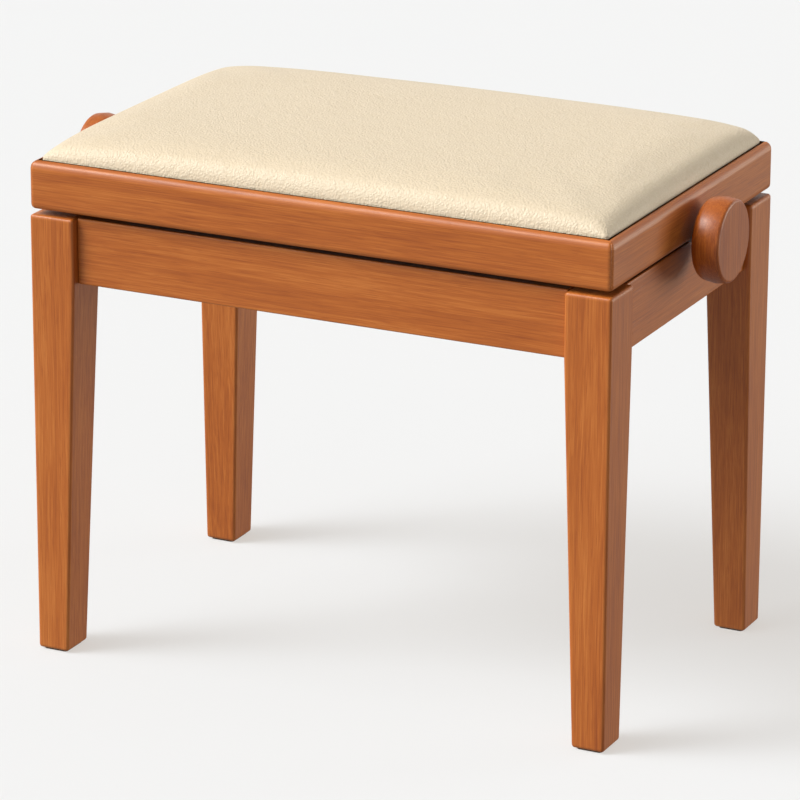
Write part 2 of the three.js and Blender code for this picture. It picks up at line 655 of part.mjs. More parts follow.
// A steel plate inside each side rail that guides the spindle.
function guidePlateGeometry() {
  const outer = SEAT_HALF_X - RAIL_THICKNESS - GAP;
  const inner = outer - PLATE_THICKNESS;
  const height = [BASE_TOP + 2, SEAT_BOTTOM + 20];
  const plate = box([inner, outer], [-PLATE_HALF_WIDTH, PLATE_HALF_WIDTH], height);
  return cut(plate, rodAlongX(SPINDLE_RADIUS + 0.4, outer - 5, outer + 5, 0, SPINDLE_Z));
}

function buildSpindle() {
  const end = KNOB_INNER_X + INSERT_LENGTH - 1;
  addMesh("spindle", rodAlongX(SPINDLE_RADIUS, -end, end, 0, SPINDLE_Z), LOOKS.steel);
  const knob = knobGeometry();
  const bore = SPINDLE_RADIUS + GAP;
  const insert = ringAlongX(INSERT_RADIUS, bore, KNOB_INNER_X, KNOB_INNER_X + INSERT_LENGTH);
  const plate = guidePlateGeometry();
  for (const { name, sx } of SIDES) {
    addMesh(`knob_${name}`, mirrored(knob, sx, 1), LOOKS.wood);
    addMesh(`knob_insert_${name}`, mirrored(insert, sx, 1), LOOKS.brass);
    addMesh(`guide_plate_${name}`, mirrored(plate, sx, 1), LOOKS.steel);
    const near = -LIFT_PIVOT_X + sx * (LIFT_BAR / 2 + COLLAR_PLAY);
    const ends = [near, near + sx * COLLAR_WIDTH].sort((a, b) => a - b);
    addMesh(`thrust_collar_${name}`, ringAlongX(COLLAR_RADIUS, bore, ...ends), LOOKS.steel);
  }
}

buildLegFrame();
buildSeatFrame();
buildChannels();
buildLift();
buildSpindle();

export default bench;
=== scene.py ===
"""Looks of the height-adjustable piano bench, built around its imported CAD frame.

Metres, +Z up, front at -Y.
"""

import json
import math
import random

import bmesh
import bpy
import numpy as np
from mathutils import Matrix, Vector


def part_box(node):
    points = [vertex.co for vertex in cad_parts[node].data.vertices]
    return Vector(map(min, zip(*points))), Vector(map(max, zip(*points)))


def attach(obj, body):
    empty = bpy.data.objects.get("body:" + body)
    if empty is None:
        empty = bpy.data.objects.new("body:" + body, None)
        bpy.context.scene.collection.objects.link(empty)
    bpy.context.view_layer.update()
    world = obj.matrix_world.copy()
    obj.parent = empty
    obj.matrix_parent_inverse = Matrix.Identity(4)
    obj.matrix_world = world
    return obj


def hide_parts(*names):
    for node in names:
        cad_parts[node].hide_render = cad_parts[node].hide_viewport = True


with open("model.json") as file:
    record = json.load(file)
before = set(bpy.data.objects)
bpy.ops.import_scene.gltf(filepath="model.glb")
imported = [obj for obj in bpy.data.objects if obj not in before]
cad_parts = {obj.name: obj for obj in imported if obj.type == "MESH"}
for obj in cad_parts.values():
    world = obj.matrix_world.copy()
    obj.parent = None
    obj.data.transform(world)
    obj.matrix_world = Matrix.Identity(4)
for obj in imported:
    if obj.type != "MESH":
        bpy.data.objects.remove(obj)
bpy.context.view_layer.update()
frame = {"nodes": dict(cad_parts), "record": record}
NODES = frame["nodes"]
MM = 0.001

CORNERS = {"front_left": (-1, -1), "front_right": (1, -1), "rear_left": (-1, 1), "rear_right": (1, 1)}
FACES = {"front": -1, "rear": 1}
SIDES = {"left": -1, "right": 1}


# ---- Sizes, all from the frame ----
leg_low, leg_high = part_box("leg_rear_right")
front_apron_low, front_apron_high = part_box("apron_rear")
side_apron_low, side_apron_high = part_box("apron_right")
glide_low, glide_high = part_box("foot_glide_rear_right")
rail_low, rail_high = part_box("seat_rail_rear")
side_rail_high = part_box("seat_rail_right")[1]
board_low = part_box("seat_board")[0]
pad_low, pad_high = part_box("cushion")
knob_low, knob_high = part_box("knob_right")

SEAT_X = side_rail_high.x
SEAT_Y = rail_high.y
SEAT_BOTTOM = rail_low.z
SEAT_TOP = rail_high.z
RAIL_THICKNESS = rail_high.y - rail_low.y
RIM = 7.5 * MM  # width of the rail's top beside the pad, with its rounding
TOUCH_GAP = 0.3 * MM  # left between neighbours that touch
LEDGE = board_low.z - TOUCH_GAP
SPINDLE_Z = (knob_low.z + knob_high.z) / 2


# ---- Node helpers ----
class Nodes:
    """Short forms for building a material's node tree."""

    def __init__(self, material):
        material.use_nodes = True
        self.tree = material.node_tree
        self.shader = self.tree.nodes["Principled BSDF"]

    def add(self, kind, inputs=None, **settings):
        node = self.tree.nodes.new(kind)
        for key, value in settings.items():
            setattr(node, key, value)
        for key, value in (inputs or {}).items():
            self.feed(node.inputs[key], value)
        return node

    def feed(self, socket, value):
        if isinstance(value, bpy.types.NodeSocket):
            self.tree.links.new(value, socket)
        else:
            socket.default_value = value

    def noise(self, vector, scale, detail=3.0, roughness=0.5, distortion=0.0):
        inputs = {"Vector": vector, "Scale": scale, "Detail": detail, "Roughness": roughness}
        inputs["Distortion"] = distortion
        return self.add("ShaderNodeTexNoise", inputs).outputs["Fac"]

    def stretched_noise(self, vector, scales, **settings):
        """Noise with its own scale along each axis."""
        return self.noise(self.scaled(vector, scales), 1.0, **settings)

    def math(self, operation, a, b=0.0, clamp=False):
        node = self.add("ShaderNodeMath", {0: a, 1: b}, operation=operation, use_clamp=clamp)
        return node.outputs[0]

    def span(self, value, low, high, to_low=0.0, to_high=1.0):
        inputs = {"Value": value, "From Min": low, "From Max": high, "To Min": to_low, "To Max": to_high}
        return self.add("ShaderNodeMapRange", inputs).outputs["Result"]

    def scaled(self, vector, scale):
        return self.add("ShaderNodeVectorMath", {0: vector, 1: scale}, operation="MULTIPLY").outputs[0]

    def mix(self, factor, a, b, blend="MIX"):
        node = self.add("ShaderNodeMix", data_type="RGBA", blend_type=blend)
        self.feed(node.inputs["Factor"], factor)
        self.feed(node.inputs[6], a)
        self.feed(node.inputs[7], b)
        return node.outputs[2]

    def ramp(self, factor, stops):
        node = self.add("ShaderNodeValToRGB", {"Fac": factor})
        elements = node.color_ramp.elements
        while len(elements) < len(stops):
            elements.new(0.5)
        for element, (position, colour) in zip(elements, stops):
            element.position = position
            element.color = colour
        return node.outputs["Color"]

    def bump(self, height, distance, strength=1.0, normal=None):
        inputs = {"Height": height, "Distance": distance, "Strength": strength}
        if normal is not None:
            inputs["Normal"] = normal
        return self.add("ShaderNodeBump", inputs).outputs["Normal"]

    def set(self, **inputs):
        for key, value in inputs.items():
            self.feed(self.shader.inputs[key.replace("_", " ")], value)


def srgb(red, green, blue):
    """A display colour, 0 to 255, as the linear RGBA that nodes take."""
    linear = [((c / 255 + 0.055) / 1.055) ** 2.4 if c > 10 else c / 255 / 12.92 for c in (red, green, blue)]
    return (*linear, 1.0)


# ---- Materials ----
GAP_SHADE = srgb(104, 56, 25)  # painted shade: wood darkened in the narrow gap under the seat frame, where shade falls

# Scales of the wood's noise per metre, along the grain and across it
DRIFT_SCALE = (3.0, 14.0, 14.0)
BAND_SCALE = (1.4, 70.0, 50.0)
STREAK_SCALE = (9.0, 460.0, 460.0)
HAIR_SCALE = (22.0, 1250.0, 1250.0)
MOTTLE_SCALE = (9.0, 26.0, 26.0)
PORE_SCALE = (60.0, 1000.0, 1000.0)
# Share of each layer in the wood's tone
BAND_SHARE = 0.34
STREAK_SHARE = 0.62
HAIR_SHARE = 0.62
MOTTLE_SHARE = 0.26
PORE_SHARE = 0.4
SWAY_Y = 0.006  # how far the grain wanders sideways
SWAY_Z = 0.005


def wood_material(name, dark, middle, light, finish):
    """Straight-grained timber. It reads the mesh's `grain` vector (along, across, across) and its masks."""
    material = bpy.data.materials.new(name)
    n = Nodes(material)
    grain = n.add("ShaderNodeAttribute", attribute_name="grain").outputs["Vector"]
    edge = n.add("ShaderNodeAttribute", attribute_name="edge").outputs["Fac"]
    gap_shade = n.add("ShaderNodeAttribute", attribute_name="gap_shade").outputs["Fac"]

    drift = n.stretched_noise(grain, DRIFT_SCALE, detail=2.0)
    sway = {"Y": n.span(drift, 0, 1, -SWAY_Y, SWAY_Y), "Z": n.span(drift, 0, 1, SWAY_Z, -SWAY_Z)}
    shift = n.add("ShaderNodeCombineXYZ", sway).outputs[0]
    bent = n.add("ShaderNodeVectorMath", {0: grain, 1: shift}, operation="ADD").outputs[0]
    bands = n.stretched_noise(bent, BAND_SCALE, detail=2.0)
    streaks = n.stretched_noise(bent, STREAK_SCALE, roughness=0.6)
    hairs = n.stretched_noise(bent, HAIR_SCALE, detail=2.0, roughness=0.6)
    mottle = n.stretched_noise(grain, MOTTLE_SCALE)
    pores = n.span(n.stretched_noise(grain, PORE_SCALE, detail=1.0), 0.62, 0.72)

    tone = 0.5
    layers = ((bands, BAND_SHARE), (streaks, STREAK_SHARE), (hairs, HAIR_SHARE), (mottle, MOTTLE_SHARE))
    for layer, share in layers:
        tone = n.math("ADD", n.math("MULTIPLY", n.math("SUBTRACT", layer, 0.5), share), tone)
    colour = n.ramp(tone, [(0.22, dark), (0.5, middle), (0.76, light)])
    colour = n.mix(n.math("MULTIPLY", pores, PORE_SHARE), colour, dark)
    rubbed = n.math("MULTIPLY", edge, n.span(mottle, 0.35, 0.7, 0.05, 0.30))
    colour = n.mix(rubbed, colour, light)
    # painted shade: rail undersides and apron tops in the gap under the seat frame are mixed towards the
    # painted shade colour
    colour = n.mix(n.math("MULTIPLY", gap_shade, n.span(mottle, 0.3, 0.7, 0.96, 0.84)), colour, GAP_SHADE)

    gloss = n.span(streaks, 0.25, 0.75, finish["roughness"] + 0.05, finish["roughness"] - 0.04)
    gloss = n.math("ADD", gloss, n.math("MULTIPLY", edge, 0.03))
    relief = n.math("ADD", n.math("MULTIPLY", streaks, 0.6), n.math("MULTIPLY", hairs, 0.4))
    relief = n.math("SUBTRACT", relief, n.math("MULTIPLY", pores, 0.5))
    n.set(
        Base_Color=colour,
        Roughness=gloss,
        Normal=n.bump(relief, finish["relief"]),
        Specular_IOR_Level=finish["specular"],
    )
    return material


PEBBLE_WARP = (0.0016, 0.0016, 0.0016)
PEBBLE_RELIEF = 0.00062
SOFT_RELIEF = 0.0007
LEATHER_TONES = [(0.25, srgb(209, 192, 164)), (0.55, srgb(215, 199, 173)), (0.85, srgb(221, 206, 181))]


def leather_material():
    """Cream leatherette with a fine pebble grain."""
    material = bpy.data.materials.new("cream_leatherette")
    n = Nodes(material)
    place = n.add("ShaderNodeTexCoord").outputs["Object"]
    warp = n.add("ShaderNodeTexNoise", {"Vector": place, "Scale": 260.0, "Detail": 2.0}).outputs["Color"]
    shift = n.scaled(warp, PEBBLE_WARP)
    warped = n.add("ShaderNodeVectorMath", {0: place, 1: shift}, operation="ADD").outputs[0]
    cell_inputs = {"Vector": warped, "Scale": 520.0, "Smoothness": 0.6}
    cells = n.add("ShaderNodeTexVoronoi", cell_inputs, feature="SMOOTH_F1")
    pebbles = n.span(cells.outputs["Distance"], 0.05, 0.75, 1.0, 0.0)
    wrinkle = n.noise(warped, 190.0, detail=4.0, roughness=0.6)
    soft = n.noise(place, 60.0, detail=3.0)
    patches = n.noise(place, 9.0, detail=2.0)

    height = n.math("ADD", n.math("MULTIPLY", pebbles, 0.6), n.math("MULTIPLY", wrinkle, 0.55))
    tone = n.math("ADD", n.math("MULTIPLY", pebbles, 0.28), n.math("MULTIPLY", wrinkle, 0.42))
    tone = n.math("ADD", tone, n.math("MULTIPLY", soft, 0.18))
    tone = n.math("ADD", tone, n.math("MULTIPLY", patches, 0.14))
    n.set(
        Base_Color=n.ramp(tone, LEATHER_TONES),
        Roughness=n.span(height, 0.3, 0.9, 0.56, 0.44),
        Normal=n.bump(height, PEBBLE_RELIEF, 1.0, n.bump(soft, SOFT_RELIEF, 0.8)),
        Sheen_Weight=0.12,
        Sheen_Roughness=0.4,
        Specular_IOR_Level=0.4,
    )
    return material


def metal_material(name, low, high, roughness, brushed):
    """Bare or plated metal with fine lines along `brushed` and light soiling."""
    material = bpy.data.materials.new(name)
    n = Nodes(material)
    place = n.add("ShaderNodeTexCoord").outputs["Object"]
    lines = n.stretched_noise(place, brushed, roughness=0.6)
    soil = n.noise(place, 45.0, detail=4.0, roughness=0.6)
    colour = n.mix(n.math("MULTIPLY", n.math("ADD", lines, soil), 0.5), low, high)
    wear = n.math("ADD", n.math("MULTIPLY", lines, 0.14), n.math("MULTIPLY", soil, 0.22))
    n.set(
        Base_Color=colour,
        Metallic=1.0,
        Roughness=n.math("ADD", wear, roughness - 0.18),
        Normal=n.bump(lines, 0.00004, 0.6),
    )
    return material


def moulded_material(name, low, high, roughness, relief):
    """Moulded or felted plain material with a fine tooth."""
    material = bpy.data.materials.new(name)
    n = Nodes(material)
    place = n.add("ShaderNodeTexCoord").outputs["Object"]
    fine = n.noise(place, 1400.0, detail=3.0, roughness=0.7)
    broad = n.noise(place, 70.0, detail=3.0)
    n.set(
        Base_Color=n.mix(n.math("MULTIPLY", n.math("ADD", fine, broad), 0.5), low, high),
        Roughness=n.span(fine, 0.3, 0.7, roughness - 0.06, roughness + 0.06),
        Normal=n.bump(fine, relief, 0.8),
    )
    return material


PLY_THICKNESS = 1.6 * MM


def plywood_material():
    """Birch plywood: long pale figure on the faces, glued layers on the edges."""
    material = bpy.data.materials.new("birch_plywood")
    n = Nodes(material)
    place = n.add("ShaderNodeTexCoord").outputs["Object"]
    figure = n.stretched_noise(place, (2.0, 70.0, 70.0), detail=4.0, distortion=0.6)
    fibre = n.stretched_noise(place, (30.0, 900.0, 900.0))
    height = n.add("ShaderNodeSeparateXYZ", {"Vector": place}).outputs["Z"]
    layer = n.math("PINGPONG", n.math("MULTIPLY", height, 1 / PLY_THICKNESS), 1.0)
    side = n.add("ShaderNodeSeparateXYZ", {"Vector": n.add("ShaderNodeNewGeometry").outputs["True Normal"]})
    on_edge = n.math("SUBTRACT", 1.0, n.math("ABSOLUTE", side.outputs["Z"]), clamp=True)
    face_tone = n.math("MULTIPLY", n.math("ADD", figure, fibre), 0.5)
    face_colour = n.mix(face_tone, srgb(176, 140, 96), srgb(222, 194, 150))
    edge_colour = n.mix(layer, srgb(140, 104, 66), srgb(206, 172, 124))
    n.set(
        Base_Color=n.mix(on_edge, face_colour, edge_colour),
        Roughness=n.span(fibre, 0.3, 0.7, 0.62, 0.78),
        Normal=n.bump(fibre, 0.00008),
    )
    return material


LACQUER = {"roughness": 0.36, "specular": 0.45, "relief": 0.00006}
RAW = {"roughness": 0.68, "specular": 0.3, "relief": 0.00012}
BENCH_WOOD = wood_material(
    "stained_beech", srgb(147, 71, 21), srgb(179, 97, 34), srgb(201, 121, 54), LACQUER
)
KNOB_WOOD = wood_material(
    "stained_beech_turned", srgb(132, 60, 14), srgb(165, 84, 24), srgb(187, 106, 40), LACQUER
)
BLOCK_WOOD = wood_material(
    "raw_hardwood", srgb(158, 112, 66), srgb(198, 154, 102), srgb(218, 180, 130), RAW
)
LEATHER = leather_material()
PLYWOOD = plywood_material()
STEEL = metal_material(
    "zinc_plated_steel", srgb(140, 142, 143), srgb(196, 198, 198), 0.38, (30.0, 900.0, 900.0)
)
BRASS = metal_material(
    "turned_brass", srgb(166, 128, 66), srgb(214, 178, 106), 0.34, (900.0, 60.0, 60.0)
)
NYLON = moulded_material("natural_nylon", srgb(214, 209, 196), srgb(235, 231, 222), 0.5, 0.00002)
GLIDE = moulded_material("dark_felt", srgb(38, 31, 26), srgb(70, 58, 48), 0.88, 0.00015)


# ---- Mesh helpers ----
def make_piece(name, vertices, faces, material, body, replaces, attributes=None):
    """A mesh object in the CAD frame that rides on a body and stands for CAD nodes."""
    mesh = bpy.data.meshes.new(name)
    mesh.from_pydata([tuple(v) for v in vertices], [], faces)
    mesh.validate()
    for key, values in (attributes or {}).items():
        kind = "FLOAT_VECTOR" if np.ndim(values) == 2 else "FLOAT"
        attribute = mesh.attributes.new(key, kind, "POINT")
        field = "vector" if kind == "FLOAT_VECTOR" else "value"
        attribute.data.foreach_set(field, np.asarray(values, np.float32).ravel())
    piece = bpy.data.objects.new(name, mesh)
    bpy.context.scene.collection.objects.link(piece)
    piece.data.materials.append(material)
    for polygon in mesh.polygons:
        polygon.use_smooth = True
    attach(piece, body)
    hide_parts(*replaces)
    return piece


def even_shading(piece):
    """Keeps large flat faces flat beside their rounded edges."""
    modifier = piece.modifiers.new("face_weighted_normals", "WEIGHTED_NORMAL")
    modifier.keep_sharp = True
    modifier.weight = 100


def inset_outline(corners, distance):
    """A closed outline (counter-clockwise) with every side moved inwards."""
    count = len(corners)
    moved = []
    for i in range(count):
        before, here, after = (Vector(corners[j % count]) for j in (i - 1, i, i + 1))
        into = (here - before).normalized()
        out = (after - here).normalized()
        inward_a = Vector((-into.y, into.x))
        inward_b = Vector((-out.y, out.x))
        middle = (inward_a + inward_b).normalized()
        moved.append(here + middle * (distance / max(0.2, middle.dot(inward_a))))
    return moved


ARC_STEPS = 4
SUPPORT = 1.6 * MM  # how far beside a rounding the line lies that keeps the flat face flat
SHARPEST = 0.05 * MM
LEAST_ARRIS = 0.1 * MM
SUPPORT_MASK = 0.25
END_SUPPORT_MASK = 0.2
ARC_END_MASK = 0.75


def rounded_outline(corners, radii, support=SUPPORT):
    """Points of a closed outline with its corners rounded, and the edge mask of each point."""
    points, mask = [], []
    count = len(corners)
    for i in range(count):
        before, here, after = (Vector(corners[j % count]) for j in (i - 1, i, i + 1))
        back = (before - here).normalized()
        ahead = (after - here).normalized()
        half = math.acos(max(-1.0, min(1.0, back.dot(ahead)))) / 2
        radius = max(radii[i], SHARPEST)
        reach = radius / math.tan(half)
        centre = here + (back + ahead).normalized() * (radius / math.sin(half))
        start = here + back * reach
        end = here + ahead * reach
        points.append(start + back * support)
        mask.append(SUPPORT_MASK)
        first, last = start - centre, end - centre
        turn = math.atan2(first.x * last.y - first.y * last.x, first.dot(last))
        for step in range(ARC_STEPS + 1):
            angle = turn * step / ARC_STEPS
            c, s = math.cos(angle), math.sin(angle)
            points.append(centre + Vector((first.x * c - first.y * s, first.x * s + first.y * c)))
            mask.append(1.0 if 0 < step < ARC_STEPS else ARC_END_MASK)
        points.append(end + ahead * support)
        mask.append(SUPPORT_MASK)
    return points, mask


def loft(rings):
    """Vertices and faces of a closed body through rings of equal count, capped at both ends."""
    count = len(rings[0])
    vertices = [v for ring in rings for v in ring]
    faces = []
    for i in range(len(rings) - 1):
        for j in range(count):
            k = (j + 1) % count
            faces.append((i * count + j, i * count + k, (i + 1) * count + k, (i + 1) * count + j))
    faces.append(tuple(reversed(range(count))))
    last = (len(rings) - 1) * count
    faces.append(tuple(range(last, last + count)))
    return vertices, faces


def end_stations(low, high, radius, support=SUPPORT):
    """Lists of (place along, inset, mask) for the rounded lower end and the rounded upper end."""
    rows = [(0.0, radius + support, SUPPORT_MASK)]
    for step in range(ARC_STEPS + 1):
        angle = math.pi / 2 * step / ARC_STEPS
        rows.append((radius * (1 - math.cos(angle)), radius * (1 - math.sin(angle)), 1.0))
    rows.append((radius + support, 0.0, END_SUPPORT_MASK))
    start = [(low + along, inset, mask) for along, inset, mask in rows]
    end = [(high - along, inset, mask) for along, inset, mask in reversed(rows)]
    return start, end


def timber(
    name, outline_at, radius, stations, place, along_axis, body, replaces, shaded_from=math.inf, seed=0
):
    """A rounded timber through stations (place along, inset, mask). outline_at(along) is its section."""
    rings, masks = [], []
    for along, inset, end_mask in stations:
        corners = inset_outline(outline_at(along), inset)
        radii = [max(radius - inset, LEAST_ARRIS)] * len(corners)
        points, mask = rounded_outline(corners, radii)
        rings.append([place(along, p) for p in points])
        masks += [max(m, end_mask) for m in mask]
    vertices, faces = loft(rings)
    # painted shade mask: points above the given height, the apron tops in the gap under the seat frame
    gap_shade = [1.0 if v[2] > shaded_from else 0.0 for v in vertices]
    attributes = {"grain": grain_vectors(vertices, along_axis, seed), "edge": masks, "gap_shade": gap_shade}
    piece = make_piece(name, vertices, faces, BENCH_WOOD, body, replaces, attributes)
    face_outwards(piece)
    even_shading(piece)


def face_outwards(piece):
    """Turns a closed mesh's faces outwards."""
    work = bmesh.new()
    work.from_mesh(piece.data)
    bmesh.ops.recalc_face_normals(work, faces=work.faces)
    work.to_mesh(piece.data)
    work.free()


LOG_REACH = 5  # metres each way that a timber may be moved in the log


def grain_vectors(vertices, along_axis, seed):
    """Places in the log, whose first number runs along the grain. Each seed is another part of the log."""
    pick = random.Random(seed)
    points = np.array([tuple(v) for v in vertices])
    order = [along_axis] + [axis for axis in range(3) if axis != along_axis]
    return points[:, order] + np.array([pick.uniform(-LOG_REACH, LOG_REACH) for _ in range(3)])


def rectangle(x0, x1, y0, y1):
    return [(x0, y0), (x1, y0), (x1, y1), (x0, y1)]


# ---- Leg frame ----
LEG_ARRIS = 2.8 * MM
FOOT_ROUND = 3.0 * MM
FOOT_MARGIN = 7 * MM  # how much wider a foot is than its glide
LEG_RINGS = (40 * MM, 120 * MM, 200 * MM, 280 * MM)
KNEE_BLEND = 12 * MM  # a second ring this far above the knee keeps the straight part flat
APRON_ARRIS = 1.5 * MM
APRON_SUPPORT = 0.8 * MM
APRON_TOP = front_apron_high.z - 0.05 * MM  # what lies above it is an apron's top face
GLUE_GAP = 0.02 * MM


def build_legs():
    foot_x = glide_high.x - glide_low.x + FOOT_MARGIN
    foot_y = glide_high.y - glide_low.y + FOOT_MARGIN
    knee = front_apron_low.z
    foot = leg_low.z
    start = end_stations(foot, leg_high.z, FOOT_ROUND)[0]
    end = end_stations(foot, leg_high.z, LEG_ARRIS)[1]
    rings = [(z, 0.0, 0.0) for z in (*LEG_RINGS, knee, knee + KNEE_BLEND)]

    for index, (name, (sx, sy)) in enumerate(CORNERS.items()):
        def outline_at(z, sx=sx, sy=sy):
            share = min(1.0, max(0.0, (knee - z) / (knee - foot)))
            inner_x = leg_low.x + share * (leg_high.x - foot_x - leg_low.x)
            inner_y = leg_low.y + share * (leg_high.y - foot_y - leg_low.y)
            xs = sorted((sx * inner_x, sx * leg_high.x))
            ys = sorted((sy * inner_y, sy * leg_high.y))
            return rectangle(*xs, *ys)

        timber(
            f"leg_{name}_timber", outline_at, LEG_ARRIS, start + rings + end,
            lambda z, p: (p.x, p.y, z), 2, "base", [f"leg_{name}"], seed=11 + index,
        )


def build_apron(name, outline, half_length, ring_places, place, along_axis, seed):
    start, stop = end_stations(-half_length, half_length, APRON_ARRIS, APRON_SUPPORT)
    stations = start[1:] + [(along, 0.0, 0.0) for along in ring_places] + stop[:-1]
    timber(
        f"apron_{name}_timber", lambda _: outline, APRON_ARRIS, stations,
        place, along_axis, "base", [f"apron_{name}"], APRON_TOP, seed,
    )


def build_aprons():
    end = leg_low.x - GLUE_GAP
    rings = np.linspace(-0.85 * end, 0.85 * end, 5)
    for index, (name, sy) in enumerate(FACES.items()):
        ys = sorted((sy * front_apron_low.y, sy * front_apron_high.y))
        outline = rectangle(*ys, front_apron_low.z, front_apron_high.z)
        build_apron(name, outline, end, rings, lambda x, p: (x, p.x, p.y), 0, 21 + index)
    end = leg_low.y - GLUE_GAP
    rings = np.linspace(-0.8 * end, 0.8 * end, 3)
    for index, (name, sx) in enumerate(SIDES.items()):
        xs = sorted((sx * side_apron_low.x, sx * side_apron_high.x))
        outline = rectangle(*xs, side_apron_low.z, side_apron_high.z)
        build_apron(name, outline, end, rings, lambda y, p: (p.x, y, p.y), 1, 31 + index)


# ---- Seat frame ----
RAIL_ROUND = 7.0 * MM
RAIL_FOOT_ROUND = 4.5 * MM
PLAN_ROUND = 5.0 * MM  # rounding of the frame's upright corners


def rail_outline(half):
    """Section of a rail (outwards, up) whose outer face is at `half`."""
    return [
        (half - RAIL_THICKNESS, SEAT_BOTTOM),
        (half, SEAT_BOTTOM),
        (half, SEAT_TOP),
        (half - RIM, SEAT_TOP),
        (half - RIM, LEDGE),
        (half - RAIL_THICKNESS, LEDGE),
    ]


RAIL_RADII = [0.8 * MM, RAIL_FOOT_ROUND, RAIL_ROUND, 0.5 * MM, 0.4 * MM, 0.8 * MM]
RAIL_SUPPORT = 0.9 * MM
RAIL_RINGS = 7
MITRE_REACH = 14 * MM  # the last straight ring stops this far before the mitre
TURN_STEPS = 4
TURN_MASK = 0.9
TURN_START_MASK = 0.4
RAIL_UNDERSIDE = SEAT_BOTTOM + 0.05 * MM  # what lies below it is a rail's underside


def build_rail(name, half, half_length, place, along_axis, seed):
    """One mitred rail. Its outer face turns round the frame's corner up to the mitre plane."""
    points, mask = rounded_outline(rail_outline(half), RAIL_RADII, RAIL_SUPPORT)
    turn_start = half - PLAN_ROUND
    straight = half_length - RAIL_THICKNESS - MITRE_REACH

    def turned_ring(step, sign):
        ring = []
        for p in points:
            band = p.x - turn_start
            if band > 0:
                angle = math.pi / 4 * step / TURN_STEPS
                along = half_length - PLAN_ROUND + band * math.sin(angle)
                out = turn_start + band * math.cos(angle)
            else:
                mitre = half_length - (half - p.x)
                share = 0.5 + 0.5 * step / TURN_STEPS
                along = straight + (mitre - straight) * share
                out = p.x
            ring.append(place(sign * along, out, p.y))
        return ring

    def turned_mask(step):
        least = TURN_MASK if step else TURN_START_MASK
        return [max(m, least) if p.x > turn_start else m for p, m in zip(points, mask)]

    rings, masks = [], []
    for step in range(TURN_STEPS, -1, -1):
        rings.append(turned_ring(step, -1))
        masks += turned_mask(step)
    for along in np.linspace(-straight, straight, RAIL_RINGS):
        rings.append([place(along, p.x, p.y) for p in points])
        masks += mask
    for step in range(TURN_STEPS + 1):
        rings.append(turned_ring(step, 1))
        masks += turned_mask(step)
    vertices, faces = loft(rings)
    # painted shade mask: the rail's underside, over the gap above the aprons
    gap_shade = [1.0 if v[2] < RAIL_UNDERSIDE else 0.0 for v in vertices]
    attributes = {"grain": grain_vectors(vertices, along_axis, seed), "edge": masks, "gap_shade": gap_shade}
    node = f"seat_rail_{name}"
    piece = make_piece(
        f"{node}_timber", vertices, faces, BENCH_WOOD, "seat", [node], attributes
    )
    face_outwards(piece)
    return piece


NOTCH_HALF_WIDTH = 8 * MM
NOTCH_BELOW = 5 * MM  # how far the cutter reaches past the rail's lower edge and outer face
NOTCH_DEPTH = 30 * MM


def cut_notch(piece, sign):
    """The half-round slot for the spindle, open at the rail's lower edge."""
    bottom = SEAT_BOTTOM - NOTCH_BELOW
    outline = [(-NOTCH_HALF_WIDTH, bottom), (NOTCH_HALF_WIDTH, bottom)]
    for a in np.linspace(0, math.pi, 25):
        outline.append((NOTCH_HALF_WIDTH * math.cos(a), SPINDLE_Z + NOTCH_HALF_WIDTH * math.sin(a)))
    xs = sorted((sign * (SEAT_X - NOTCH_DEPTH), sign * (SEAT_X + NOTCH_BELOW)))
    vertices, faces = loft([[(x, y, z) for y, z in outline] for x in xs])
    mesh = bpy.data.meshes.new("notch")
    mesh.from_pydata(vertices, [], faces)
    tool = bpy.data.objects.new("notch", mesh)
    bpy.context.scene.collection.objects.link(tool)
    face_outwards(tool)
    cut = piece.modifiers.new("notch", "BOOLEAN")
    cut.operation = "DIFFERENCE"
    cut.solver = "EXACT"
    cut.object = tool
    apply_modifiers(piece)
    bpy.data.objects.remove(tool)


def apply_modifiers(piece):
    """Bakes the piece's modifiers into its mesh."""
    bpy.context.view_layer.update()
    graph = bpy.context.evaluated_depsgraph_get()
    shaped = piece.evaluated_get(graph)
    mesh = bpy.data.meshes.new_from_object(shaped, preserve_all_data_layers=True, depsgraph=graph)
    piece.modifiers.clear()
    piece.data = mesh


def build_seat_frame():
    for index, (name, sy) in enumerate(FACES.items()):
        rail = build_rail(name, SEAT_Y, SEAT_X, lambda a, o, z, sy=sy: (a, sy * o, z), 0, 41 + index)
        even_shading(rail)
    for index, (name, sx) in enumerate(SIDES.items()):
        rail = build_rail(name, SEAT_X, SEAT_Y, lambda a, o, z, sx=sx: (sx * o, a, z), 1, 51 + index)
        cut_notch(rail, sx)
        even_shading(rail)


# ---- Cushion ----
PAD_HALF_X = SEAT_X - RIM - TOUCH_GAP
PAD_HALF_Y = SEAT_Y - RIM - TOUCH_GAP
PAD_BASE = pad_low.z + 0.2 * MM
PAD_PLAN_ROUND = 4.0 * MM
PAD_GRID = (104, 66)  # points along the width and the depth
PAD_START = 1.2 * MM  # how much lower the crown starts, before it is filled
EDGE_LINE = 2.8 * MM  # height of the top's edge line above the rails
EDGE_RISE = 13.4 * MM  # full, steep edge
EDGE_REACH = (15 * MM, 11 * MM)
SLOPE_RISE = 6.2 * MM  # gentle slope inside it
SLOPE_REACH = (52 * MM, 30 * MM)
CROWN_RISE = 7.6 * MM  # slow rise over the whole pad
CROWN_POWER = 2.4
CORNER_DROP = 6.5 * MM
CORNER_POWER = 5
LEAN = 2.4 * MM  # the filling has settled a little towards one end
WAIST = 0.8 * MM  # the cover pulls in where it meets the frame
BULGE = 1.5 * MM  # most that the cover hangs over the rim
FILL_CAP = 1.8 * MM  # most that the filling may move a point of the cover
FILL_SMOOTHING = 14
